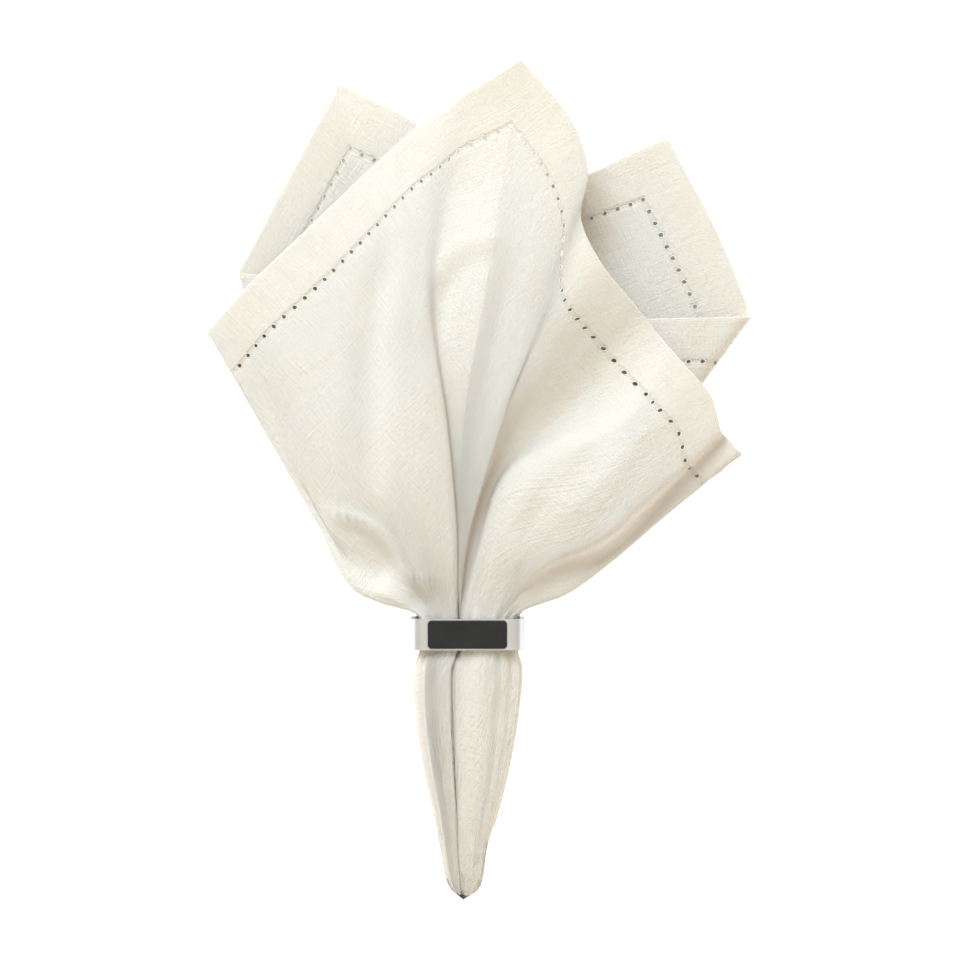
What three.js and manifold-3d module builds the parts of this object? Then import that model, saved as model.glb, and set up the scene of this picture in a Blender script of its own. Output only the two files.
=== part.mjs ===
// A square cloth napkin drawn by its centre through a metal ring, lying on its back.
// Millimetres. +X is to the right, +Y towards the napkin's corners, +Z up off the table.

import * as THREE from "three";
import Module from "manifold-3d";

// Ring: an oblong band, round at its corners
const RING_WIDTH = 48.5;
const RING_DEPTH = 30;
const RING_HEIGHT = 13.2;
const RING_WALL = 1.8;
const RING_CORNER = 6.8;
const RING_X = -5.4;
const RING_Y = -65.8;

// Panel let into the front of the ring
const PANEL_WIDTH = 33.4;
const PANEL_HEIGHT = 11.8;
const PANEL_THICKNESS = 0.9;
const PANEL_CORNER = 1.6;
const PANEL_GAP = 0.3;
const RECESS_DEPTH = 0.8;

// Napkin
const CLOTH_THICKNESS = 1.2;
const HEM_THICKNESS = 1.6;
const TIP_THICKNESS = 1;
const TIP = new THREE.Vector3(-7.2, -177.2, 9.6);

// Inside a tight fold the cloth is squeezed to this share of the fold's radius.
const INNER_SHARE = 0.6;

// Mesh fineness: columns between the five points of a fold, rows of the tip and the hem
const FOLD_STEPS = [1, 2, 2, 1];
const TIP_ROWS = 7;
const TIP_SOFTENINGS = 3;
const HEM_ROWS = 2;
const CURVE_SEGMENTS = 12;

// How far each of a fold's five points shifts in height towards its nose as the pleats open into the tail
const FOLD_SHIFT = [0.3, 0.6, 0, 0.6, 0.3];

// The pleats lie over one another in layers.
// Each row is one layer: its height off the table in the ring and at four places beyond it.
const layers = {
  front: { ring: 24.9, flare: 24, low: 21.2, mid: 21.2, hem: 21.4 },
  rightSecond: { ring: 22.3, flare: 20.6, low: 18.2, mid: 18.2, hem: 18.4 },
  rightThird: { ring: 19.6, flare: 17.4, low: 15.2, mid: 15.2, hem: 15.4 },
  rightCorner: { ring: 9.8, flare: 8.2, low: 6.4, mid: 6.4, hem: 6.6 },
  rightBack: { ring: 6.6, flare: 5.2, low: 3.5, mid: 3.5, hem: 3.7 },
  back: { ring: 3.2, flare: 2, low: 0.8, mid: 0.75, hem: 0.85 },
  leftBack: { ring: 13.1, flare: 11.2, low: 9.3, mid: 9.3, hem: 9.5 },
  leftCorner: { ring: 16.3, flare: 14.2, low: 12.2, mid: 12.2, hem: 12.4 },
  leftThird: { ring: 19.6, flare: 17.4, low: 15.2, mid: 15.2, hem: 15.4 },
  leftSecond: { ring: 22.3, flare: 20.6, low: 18.2, mid: 18.2, hem: 18.4 },
};

// Lines that run from the napkin's centre to its hem, in their order round the napkin.
// side: left, right or middle of the oval tail, for a line behind the front layer.
// tail: for a line of the front layer, its angle round the oval. slit: how far it sinks into the front slit.
// ring: x and z inside the ring. flare, low, mid, hem: x, y and z at four places beyond the ring.
// A fold has no z: it turns the cloth from the layer named in fold over to the one named in next.
// steps: mesh columns up to the following line.
const lines = [
  { name: "left edge", fold: "leftSecond", next: "front", steps: 2, side: -1, ring: [-25.2],
    flare: [-53, -47], low: [-69.5, -17.5], mid: [-88.5, 15.5], hem: [-115, 62] },
  { name: "roll", steps: 2, tail: 124, ring: [-22.1, 25.8],
    flare: [-45, -45.5, 26], low: [-66, -17, 23.6], mid: [-84, 20.5, 23.4], hem: [-110.5, 67.5, 21.6] },
  { name: "dent", steps: 2, tail: 122, ring: [-20.6, 26.2],
    flare: [-37, -35, 24], low: [-58.5, -12, 26.5], mid: [-76, 28, 26.5], hem: [-99, 80.5, 22.6] },
  { name: "left low", steps: 3, tail: 119.5, ring: [-18.2, 26.7],
    flare: [-30, -29, 31], low: [-50, 1, 33], mid: [-57, 50, 31.5], hem: [-76, 102.5, 24] },
  { name: "left crown", steps: 3, tail: 117, ring: [-15.4, 26.9],
    flare: [-22, -26, 34], low: [-34.5, 11.5, 39.5], mid: [-40, 68, 38], hem: [-50.5, 127, 26] },
  { name: "left ridge", steps: 2, tail: 113.5, slit: 0.03, ring: [-12.2, 26.2],
    flare: [-15, -24.5, 35.5], low: [-20, 19.5, 42], mid: [-26.5, 79.5, 39], hem: [-25, 150.5, 27] },
  { name: "pocket foot", steps: 2, tail: 107, slit: 0.3, ring: [-10.5, 23.2],
    flare: [-10, -24, 30], low: [-12.5, 25, 33], mid: [-17, 84, 35], hem: [-4.5, 163.5, 27.5] },
  { name: "front corner", corner: true, steps: 2, tail: 101.5, slit: 0.5, ring: [-9.9, 20.6],
    flare: [-8.5, -24.5, 24.5], low: [-3.5, 28, 29.5], mid: [5, 86, 32.5], hem: [17.2, 177, 28] },
  { name: "flap edge", steps: 1, tail: 98, slit: 0.58, ring: [-9.4, 19.8],
    flare: [-7.2, -25.2, 24.6], low: [-0.5, 23, 32.5], mid: [12.5, 78, 34.6], hem: [38.5, 151.5, 28.6] },
  { name: "flap side", steps: 1, tail: 96, slit: 0.59, ring: [-9.1, 19.6],
    flare: [-6.7, -25.6, 24.9], low: [0.5, 19.5, 34], mid: [17, 70, 36.8], hem: [45.6, 129.5, 29.6] },
  { name: "lip flank", steps: 2, tail: 93.5, slit: 0.6, ring: [-8.8, 19.4],
    flare: [-6, -26, 25.2], low: [1.8, 15.5, 35.5], mid: [20.5, 62, 38.5], hem: [42.4, 110.5, 31] },
  { name: "lip", steps: 2, tail: 88.5, slit: 0.52, ring: [-7.8, 19.8],
    flare: [-3, -28.5, 27.5], low: [4.5, 5.5, 38], mid: [20.5, 47.5, 41], hem: [50.8, 91.5, 34] },
  { name: "valley", steps: 2, tail: 82.5, slit: 0.3, ring: [-6.8, 21.6],
    flare: [-0.5, -29.5, 24], low: [9, 3.5, 28.5], mid: [32, 41.5, 29], hem: [62, 78, 26.5] },
  { name: "right rise", steps: 3, tail: 75.5, slit: 0.03, ring: [-4.2, 25.6],
    flare: [5.5, -31.5, 31], low: [22, -0.5, 36], mid: [48, 31, 34.5], hem: [74, 62, 28] },
  { name: "right crown", steps: 2, tail: 68, ring: [2.5, 26.9],
    flare: [15, -33.5, 33], low: [36, -11, 37], mid: [62.5, 16.5, 35.5], hem: [90, 44, 27] },
  { name: "right low", steps: 2, tail: 64, ring: [6.2, 26.8],
    flare: [21.5, -35, 32], low: [43.5, -21, 35], mid: [67.5, 3.5, 33.5], hem: [97.5, 35, 25.5] },
  { name: "lower edge", steps: 2, tail: 61, ring: [9.2, 26.3],
    flare: [27.5, -36.5, 30.5], low: [49.5, -30, 32], mid: [71.5, -8.5, 30.5], hem: [103, 19.5, 23.8] },
  { name: "groove", steps: 2, tail: 58, ring: [11, 25.7],
    flare: [30.5, -41, 25.4], low: [52, -33, 25], mid: [74.5, -11.5, 24.8], hem: [105, 16, 22.4] },
  { name: "right edge", fold: "front", next: "rightSecond", steps: 1, side: 1, ring: [14.4],
    flare: [37.5, -48], low: [56, -34.5], mid: [80, -14], hem: [110.5, 10.5] },
  { name: "right inner", fold: "rightSecond", next: "rightThird", steps: 1, side: 1, ring: [-3.8],
    flare: [10.5, -39.5], low: [14.5, -9], mid: [17, 27], hem: [17.5, 66.5] },
  { name: "right outer", fold: "rightThird", next: "rightCorner", steps: 1, side: 1, ring: [15.9],
    flare: [32.5, -44], low: [53, -26], mid: [76, 14.5], hem: [114.4, 68.5] },
  { name: "right corner low", steps: 1, side: 1, ring: [3.2, 9.9],
    flare: [21, -36.5, 8.2], low: [40, -8, 6.4], mid: [65, 43, 6.2], hem: [101, 102, 6] },
  { name: "right corner", corner: true, steps: 1, side: 1, ring: [-1, 10],
    flare: [13.5, -32, 8.2], low: [28.5, 12, 6.4], mid: [51.5, 73.5, 6], hem: [79, 144, 5] },
  { name: "right corner side", steps: 1, side: 1, ring: [-8, 9.6],
    flare: [-4, -31, 8.2], low: [2, 14, 6.4], mid: [18, 70, 6.2], hem: [44.5, 128, 6] },
  { name: "back inner left", fold: "rightCorner", next: "rightBack", steps: 1, side: 1, ring: [-19],
    flare: [-31.5, -36.5], low: [-44.5, -0.5], mid: [-59, 33], hem: [-76, 64.5] },
  { name: "back outer right", fold: "rightBack", next: "back", steps: 1, side: 1, ring: [11.2],
    flare: [29, -41.5], low: [49, -21.5], mid: [67, 16.5], hem: [84, 61] },
  { name: "back corner", corner: true, steps: 1, side: 0, ring: [-5, 3.2],
    flare: [-4.5, -30, 2], low: [-1, 20.5, 0.8], mid: [2.5, 84, 0.75], hem: [6, 155.5, 0.85] },
  { name: "back outer left", fold: "back", next: "leftBack", steps: 1, side: -1, ring: [-24.6],
    flare: [-47, -49.5], low: [-67, -14], mid: [-79.5, 27], hem: [-92, 68] },
  { name: "back inner right", fold: "leftBack", next: "leftCorner", steps: 1, side: -1, ring: [11.6],
    flare: [27.5, -40.5], low: [45.5, -21.5], mid: [63, 12], hem: [81, 57] },
  { name: "left corner side", steps: 1, side: -1, ring: [-2, 16.1],
    flare: [-6, -33, 14.2], low: [-8, 16, 12.2], mid: [-18, 78, 12], hem: [-22, 147, 10.5] },
  { name: "left corner", corner: true, steps: 2, side: -1, ring: [-12, 16.5],
    flare: [-25.5, -34.5, 14.2], low: [-33, 12, 12.2], mid: [-45, 79.5, 11.6], hem: [-59.5, 167, 9] },
  { name: "left outer", fold: "leftCorner", next: "leftThird", steps: 1, side: -1, ring: [-25.6],
    flare: [-49.5, -43.5], low: [-66, -11], mid: [-83, 25], hem: [-102, 87] },
  { name: "left inner", fold: "leftThird", next: "leftSecond", steps: 1, side: -1, ring: [-13.4],
    flare: [-17, -34.5], low: [-12, -0.5], mid: [-7, 33], hem: [0, 75.5] },
];

// Sections below the ring, from the tip up, and through it.
// pleat: 0 is a plain oval, 1 the full pleats. slit: how open the front slit is.
// rows: mesh rows up to the following section.
const sections = [
  { y: -172.6, x: -6.5, z: 9.8, halfWidth: 6.6, halfDepth: 4.8, pleat: 0, slit: 0.1, rows: 1 },
  { y: -156.5, x: -6.8, z: 11, halfWidth: 10.4, halfDepth: 7.6, pleat: 0, slit: 0.7, rows: 1 },
  { y: -142, x: -6.4, z: 12, halfWidth: 13.8, halfDepth: 9.6, pleat: 0.02, slit: 1, rows: 3 },
  { y: -124, x: -6.2, z: 13.4, halfWidth: 18.3, halfDepth: 11.2, pleat: 0.44, slit: 1, rows: 2 },
  { y: -99, x: -6.1, z: 14.6, halfWidth: 22.6, halfDepth: 12.3, pleat: 0.86, slit: 1, rows: 1 },
  { y: -79, x: -5.5, z: 15, halfWidth: 23.4, halfDepth: 12.6, pleat: 1, slit: 1, rows: 1 },
  { y: -73, x: -5.4, z: 15, halfWidth: 21.4, halfDepth: 12.2, pleat: 1, slit: 1, rows: 1 },
  { y: -58.6, x: -5.4, z: 15, halfWidth: 21.4, halfDepth: 12.2, pleat: 1, slit: 1, rows: 2 },
];
const throat = sections.at(-1);
const places = [
  { place: "flare", rows: 3 },
  { place: "low", rows: 3 },
  { place: "mid", rows: 3 },
  { place: "hem", rows: 1 },
];

const lerp = THREE.MathUtils.lerp;
const lineAt = (index) => lines[(index + lines.length) % lines.length];

// Round the nose of a fold, from one layer to the next, with a straight piece of each layer.
// here is the nose in plan; back and on are the ways, in plan, to the lines before and after it.
function foldPoints(here, back, on, first, second) {
  const radius = Math.abs(first - second) / 2;
  const at = (way, share, z) => new THREE.Vector3(...here.clone().addScaledVector(way, radius * share), z);
  const nose = at(on, 0, (first + second) / 2);
  return [at(back, 2, first), at(back, 1, first), nose, at(on, 1, second), at(on, 2, second)];
}

// Between two folds a layer runs straight, through a point half way.
function withHalfway(groups, heightOf) {
  return groups.map((group, index) => {
    const next = (index + 1) % groups.length;
    const isFold = (i) => lines[i].fold !== undefined;
    if (!isFold(index) || !isFold(next)) return group;
    const middle = group.at(-1).clone().lerp(groups[next][0], 0.5);
    middle.z = heightOf(lines[index].next);
    return [...group, middle];
  });
}

// Points round the pleats in the ring.
function throatPoints() {
  const groups = lines.map((line, index) => {
    if (line.fold === undefined) return [new THREE.Vector3(line.ring[0], 0, line.ring[1])];
    const here = new THREE.Vector2(line.ring[0], 0);
    const way = (step) => new THREE.Vector2(Math.sign(lineAt(index + step).ring[0] - here.x), 0);
    return foldPoints(here, way(-1), way(1), layers[line.fold].ring, layers[line.next].ring);
  });
  return withHalfway(groups, (name) => layers[name].ring);
}

// Points round the plain oval that the pleats open into.
// Each keeps its height but for a small shift, so that no layer meets another while they open.
function ovalPoints(pleats, slitOpen) {
  return pleats.map((group, i) => {
    const { tail, side, slit = 0, fold } = lines[i];
    if (tail !== undefined) {
      const angle = THREE.MathUtils.degToRad(tail);
      return [new THREE.Vector2(Math.cos(angle), Math.sin(angle) * (1 - slit * slitOpen))];
    }
    return group.map((point, k) => {
      const shift = fold === undefined ? 0 : (FOLD_SHIFT[k] ?? 0);
      const height = (lerp(point.z, (group[2] ?? point).z, shift) - throat.z) / throat.halfDepth;
      return new THREE.Vector2(side * Math.sqrt(Math.max(0, 1 - height ** 2)), height);
    });
  });
}

// Points round a section between the tip and the top of the ring.
function closedSection({ x, y, z, halfWidth, halfDepth, pleat, slit }) {
  const pleats = throatPoints();
  const ovals = ovalPoints(pleats, slit);
  return pleats.map((group, i) =>
    group.map((point, k) => {
      const u = lerp(ovals[i][k].x, (point.x - throat.x) / throat.halfWidth, pleat);
      const w = lerp(ovals[i][k].y, (point.z - throat.z) / throat.halfDepth, pleat);
      return new THREE.Vector3(x + u * halfWidth, y, z + w * halfDepth);
    }),
  );
}

// Points round the napkin at one of the places beyond the ring.
function openSection(place) {
  const plan = (line) => new THREE.Vector2(line[place][0], line[place][1]);
  const groups = lines.map((line, index) => {
    const here = plan(line);
    if (line.fold === undefined) return [new THREE.Vector3(here.x, here.y, line[place][2])];
    const way = (step) => plan(lineAt(index + step)).sub(here).normalize();
    return foldPoints(here, way(-1), way(1), layers[line.fold][place], layers[line.next][place]);
  });
  return withHalfway(groups, (name) => layers[name][place]);
}

// Samples a smooth closed curve through a section's points; the hem keeps its square corners.
function columnsOf(groups, square) {
  const points = groups.flat();
  const count = points.length;
  const steps = groups.flatMap((group, i) =>
    group.map((_, k) => (group.length > 1 && k < FOLD_STEPS.length ? FOLD_STEPS[k] : lines[i].steps)),
  );
  const firsts = groups.map((_, i) => groups.slice(0, i).flat().length);
  const corners = square ? firsts.filter((_, i) => lines[i].corner) : [];
  const runs = corners.map((start, n) => ({ start, length: (corners[n + 1] ?? corners[0] + count) - start }));
  if (runs.length === 0) runs.push({ start: 0, length: count });
  const columns = [];
  for (const { start, length } of runs) {
    const closed = length === count;
    const run = Array.from({ length: closed ? count : length + 1 }, (_, k) => points[(start + k) % count]);
    const curve = new THREE.CatmullRomCurve3(run, closed, "centripetal");
    for (let s = 0; s < length; s += 1) {
      const at = (start + s) % count;
      for (let k = 0; k < steps[at]; k += 1) {
        columns.push({ order: at + k / steps[at], point: curve.getPoint((s + k / steps[at]) / length) });
      }
    }
  }
  return columns.sort((a, b) => a.order - b.order).map((column) => column.point);
}

// Eases the sharpest bends of the tail, where the pleats are smallest.
function softened(grid) {
  const mean = (c, r) => {
    const [before, here, after] = [-1, 0, 1].map((k) => grid[(c + k + grid.length) % grid.length][r]);
    return here.clone().multiplyScalar(2).add(before).add(after).divideScalar(4);
  };
  return grid.map((column, c) => column.map((point, r) => (r < TIP_ROWS ? mean(c, r) : point)));
}

// The napkin's middle surface: a column of points for each line from its centre to the hem.
function clothGrid() {
  const rings = [
    ...sections.map((section) => ({ rows: section.rows, points: columnsOf(closedSection(section), false) })),
    ...places.map(({ place, rows }) => ({ rows, points: columnsOf(openSection(place), place === "hem") })),
  ];
  const grid = rings[0].points.map((_, c) => {
    const curve = new THREE.CatmullRomCurve3([TIP, ...rings.map((r) => r.points[c])], false, "centripetal");
    return rings.flatMap(({ rows }, s) =>
      Array.from({ length: rows }, (__, k) => curve.getPoint((s + 1 + k / rows) / rings.length)),
    );
  });
  return Array.from({ length: TIP_SOFTENINGS }).reduce(softened, grid);
}

// Radius of the bend through three points, where its inside lies on the side that set points to.
function bendRadius(before, here, after, set) {
  const into = here.clone().sub(before);
  const out = after.clone().sub(here);
  const turn = out.clone().normalize().sub(into.clone().normalize());
  if (turn.dot(set) <= 0) return Infinity;
  const area = into.clone().cross(out).length();
  return (into.length() * out.length() * after.distanceTo(before)) / (2 * area);
}

// The cloth solid: the middle surface set off to both sides, closed along the hem.
function clothGeometry() {
  const grid = clothGrid();
  const columns = grid.length;
  const rows = grid[0].length;
  const position = [];
  for (const side of [1, -1]) {
    grid.forEach((column, c) => {
      column.forEach((here, r) => {
        const before = grid[(c + columns - 1) % columns][r];
        const after = grid[(c + 1) % columns][r];
        const along = (column[r + 1] ?? here).clone().sub(column[r - 1] ?? TIP);
        const thickness = r < TIP_ROWS ? TIP_THICKNESS : r < rows - HEM_ROWS ? CLOTH_THICKNESS : HEM_THICKNESS;
        const set = after.clone().sub(before).cross(along).setLength(side * thickness / 2);
        const squeeze = Math.min(1, INNER_SHARE * bendRadius(before, here, after, set) / set.length());
        position.push(...set.multiplyScalar(squeeze).add(here));
      });
    });
  }
  const tips = [-CLOTH_THICKNESS, CLOTH_THICKNESS].map((set) => TIP.clone().setY(TIP.y + set));
  tips.forEach((tip) => position.push(...tip));

  const index = [];
  const quad = (a, b, c, d) => index.push(a, b, c, b, d, c);
  const outer = (c, r) => (c % columns) * rows + r;
  const inner = (c, r) => columns * rows + outer(c, r);
  const tipOuter = 2 * columns * rows;
  for (let c = 0; c < columns; c += 1) {
    index.push(tipOuter, outer(c + 1, 0), outer(c, 0));
    index.push(tipOuter + 1, inner(c, 0), inner(c + 1, 0));
    for (let r = 0; r + 1 < rows; r += 1) {
      quad(outer(c, r), outer(c + 1, r), outer(c, r + 1), outer(c + 1, r + 1));
      quad(inner(c + 1, r), inner(c, r), inner(c + 1, r + 1), inner(c, r + 1));
    }
    quad(outer(c, rows - 1), outer(c + 1, rows - 1), inner(c, rows - 1), inner(c + 1, rows - 1));
  }
  const geometry = new THREE.BufferGeometry();
  geometry.setAttribute("position", new THREE.Float32BufferAttribute(position, 3));
  geometry.setIndex(index);
  return geometry;
}

// A rectangle with round corners, centred on the origin.
function roundedRectangle(width, height, corner, Kind = THREE.Shape) {
  const shape = new Kind();
  const x = width / 2 - corner;
  const y = height / 2 - corner;
  shape.absarc(x, y, corner, 0, Math.PI / 2);
  shape.absarc(-x, y, corner, Math.PI / 2, Math.PI);
  shape.absarc(-x, -y, corner, Math.PI, Math.PI * 1.5);
  shape.absarc(x, -y, corner, Math.PI * 1.5, Math.PI * 2);
  return shape;
}

function extrude(shape, depth) {
  return new THREE.ExtrudeGeometry(shape, { depth, curveSegments: CURVE_SEGMENTS, bevelEnabled: false });
}

const wasm = await Module();
wasm.setup();

function toManifold(geometry) {
  const vertProperties = geometry.getAttribute("position").array;
  const triVerts = Uint32Array.from({ length: vertProperties.length / 3 }, (_, i) => i);
  const mesh = new wasm.Mesh({ numProp: 3, vertProperties, triVerts });
  mesh.merge();
  return new wasm.Manifold(mesh);
}

function toGeometry(solid) {
  const mesh = solid.getMesh();
  const geometry = new THREE.BufferGeometry();
  geometry.setAttribute("position", new THREE.Float32BufferAttribute(mesh.vertProperties, 3));
  geometry.setIndex(new THREE.Uint32BufferAttribute(mesh.triVerts, 1));
  return geometry;
}

// The band, its axis along Z and its front towards +Y, less the recess for the panel.
function bandGeometry() {
  const outline = roundedRectangle(RING_WIDTH, RING_DEPTH, RING_CORNER);
  const boreCorner = RING_CORNER - RING_WALL;
  const boreWidth = RING_WIDTH - 2 * RING_WALL;
  const boreDepth = RING_DEPTH - 2 * RING_WALL;
  outline.holes.push(roundedRectangle(boreWidth, boreDepth, boreCorner, THREE.Path));
  const margin = 2 * PANEL_GAP;
  const recess = extrude(
    roundedRectangle(PANEL_WIDTH + margin, PANEL_HEIGHT + margin, PANEL_CORNER + PANEL_GAP),
    2 * RECESS_DEPTH,
  );
  recess.rotateX(Math.PI / 2);
  recess.translate(0, RING_DEPTH / 2 + RECESS_DEPTH, RING_HEIGHT / 2);
  return toGeometry(toManifold(extrude(outline, RING_HEIGHT)).subtract(toManifold(recess)));
}

const cloth = new THREE.MeshStandardMaterial({ color: 0xefeae0, roughness: 0.92, metalness: 0 });
const silver = new THREE.MeshStandardMaterial({ color: 0xcfd2d6, roughness: 0.3, metalness: 1 });
const black = new THREE.MeshStandardMaterial({ color: 0x1b1c1e, roughness: 0.45, metalness: 0 });

const napkin = new THREE.Mesh(clothGeometry(), cloth);
napkin.name = "napkin";

const ring = new THREE.Group();
ring.name = "ring";
ring.position.set(RING_X, RING_Y + RING_HEIGHT / 2, RING_DEPTH / 2);
ring.rotation.x = Math.PI / 2;

const band = new THREE.Mesh(bandGeometry(), silver);
band.name = "ring_band";

const panel = new THREE.Mesh(
  extrude(roundedRectangle(PANEL_WIDTH, PANEL_HEIGHT, PANEL_CORNER), PANEL_THICKNESS),
  black,
);
panel.name = "ring_panel";
panel.rotation.x = -Math.PI / 2;
panel.position.set(0, RING_DEPTH / 2 - RECESS_DEPTH + PANEL_GAP, RING_HEIGHT / 2);

ring.add(band, panel);

const part = new THREE.Group();
part.name = "napkin_in_ring";
part.add(napkin, ring);

export default part;
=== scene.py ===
"""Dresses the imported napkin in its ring: hemstitched cloth, silver band, black panel and a pale studio.

Metres. +X is to the right, +Y towards the napkin's corners, +Z up off the table.
"""

import math
from dataclasses import dataclass
from functools import lru_cache

import bmesh
import bpy
import numpy as np
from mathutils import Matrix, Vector


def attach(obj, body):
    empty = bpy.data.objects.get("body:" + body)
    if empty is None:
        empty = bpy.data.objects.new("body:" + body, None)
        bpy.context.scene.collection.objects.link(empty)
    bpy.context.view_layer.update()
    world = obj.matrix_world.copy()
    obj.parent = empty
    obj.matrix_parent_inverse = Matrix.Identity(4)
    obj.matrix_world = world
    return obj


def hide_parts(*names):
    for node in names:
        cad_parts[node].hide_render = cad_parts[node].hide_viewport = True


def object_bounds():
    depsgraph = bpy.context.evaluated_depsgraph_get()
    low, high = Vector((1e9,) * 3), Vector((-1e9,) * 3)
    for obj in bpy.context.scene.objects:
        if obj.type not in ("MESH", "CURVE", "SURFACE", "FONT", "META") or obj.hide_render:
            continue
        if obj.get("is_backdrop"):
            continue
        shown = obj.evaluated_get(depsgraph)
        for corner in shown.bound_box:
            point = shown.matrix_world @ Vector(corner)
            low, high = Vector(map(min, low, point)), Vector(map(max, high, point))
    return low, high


bl_info = {
    "name": "Napkin in a ring",
    "version": (1, 0, 0),
    "blender": (4, 5, 0),
    "location": "View3D > Sidebar > Napkin",
    "description": "Makes a hemstitched napkin drawn through a metal ring",
    "category": "Add Mesh",
}

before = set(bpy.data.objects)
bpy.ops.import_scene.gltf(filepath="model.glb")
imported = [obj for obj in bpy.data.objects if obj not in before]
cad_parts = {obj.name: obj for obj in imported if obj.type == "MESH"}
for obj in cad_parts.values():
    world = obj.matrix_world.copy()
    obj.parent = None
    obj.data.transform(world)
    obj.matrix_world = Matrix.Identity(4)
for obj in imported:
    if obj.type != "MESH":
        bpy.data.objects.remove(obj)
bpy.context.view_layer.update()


# Where the cloth runs

PLACES = ("flare", "low", "mid", "hem")


def metres(value):
    """Millimetres as metres, through any tuples."""
    if isinstance(value, tuple):
        return tuple(metres(part) for part in value)
    return round(value / 1000, 7)


class Row:
    """A row of a table, whose lengths are written in millimetres and kept in metres."""

    lengths = ()

    def __post_init__(self):
        for name in self.lengths:
            setattr(self, name, metres(getattr(self, name)))


@dataclass
class Line(Row):
    """A line from the napkin's centre to its hem, by its place in the ring and at four beyond it.

    Each place gives x, y and height, or in the ring only x and height. A fold gives no height: it turns
    the cloth from the layer fold over to the layer onto. tail is the place of a line of the front layer
    in the gathered tail below the ring.
    """

    lengths = ("ring", *PLACES, "tail")
    name: str
    ring: tuple
    flare: tuple
    low: tuple
    mid: tuple
    hem: tuple
    fold: str = ""
    onto: str = ""
    corner: bool = False
    tail: tuple = ()


@dataclass
class Layer(Row):
    """A layer of the pleats, by its height off the table in the ring and beyond it."""

    lengths = ("ring", *PLACES)
    ring: float
    flare: float
    low: float
    mid: float
    hem: float


@dataclass
class Section(Row):
    """A section through the pleats, in the ring or below it, in the tail.

    closed is how far the slit down the front has closed, from 0 for open to 1.
    """

    lengths = ("y", "x", "z", "half_width", "half_depth")
    y: float
    x: float
    z: float
    half_width: float
    half_depth: float
    in_ring: bool = False
    closed: float = 0.0


LAYERS = {
    "front": Layer(24.9, 24, 21.2, 21.2, 21.4),
    "right second": Layer(22.3, 20.6, 18.2, 18.2, 18.4),
    "right third": Layer(19.6, 17.4, 15.2, 15.2, 15.4),
    "right corner": Layer(9.8, 8.2, 6.4, 6.4, 6.6),
    "right back": Layer(6.6, 5.2, 3.5, 3.5, 3.7),
    "back": Layer(3.2, 2, 0.8, 0.75, 0.85),
    "left back": Layer(13.1, 11.2, 9.3, 9.3, 9.5),
    "left corner": Layer(16.3, 14.2, 12.2, 12.2, 12.4),
    "left third": Layer(19.6, 17.4, 15.2, 15.2, 15.4),
    "left second": Layer(22.3, 20.6, 18.2, 18.2, 18.4),
}
SECTIONS = [
    Section(y=-172.6, x=-6.5, z=9.8, half_width=6.6, half_depth=4.8, closed=1.0),
    Section(y=-156.5, x=-6.8, z=11, half_width=10.4, half_depth=7.6, closed=0.5),
    Section(y=-142, x=-6.4, z=12, half_width=13.8, half_depth=9.6),
    Section(y=-124, x=-6.2, z=13.4, half_width=18.3, half_depth=11.2),
    Section(y=-99, x=-6.1, z=14.6, half_width=22.6, half_depth=12.3),
    Section(y=-79, x=-5.5, z=15, half_width=23.4, half_depth=12.6),
    Section(y=-73, x=-5.4, z=15, half_width=21.4, half_depth=12.2, in_ring=True),
    Section(y=-58.6, x=-5.4, z=15, half_width=21.4, half_depth=12.2, in_ring=True),
]
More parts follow.
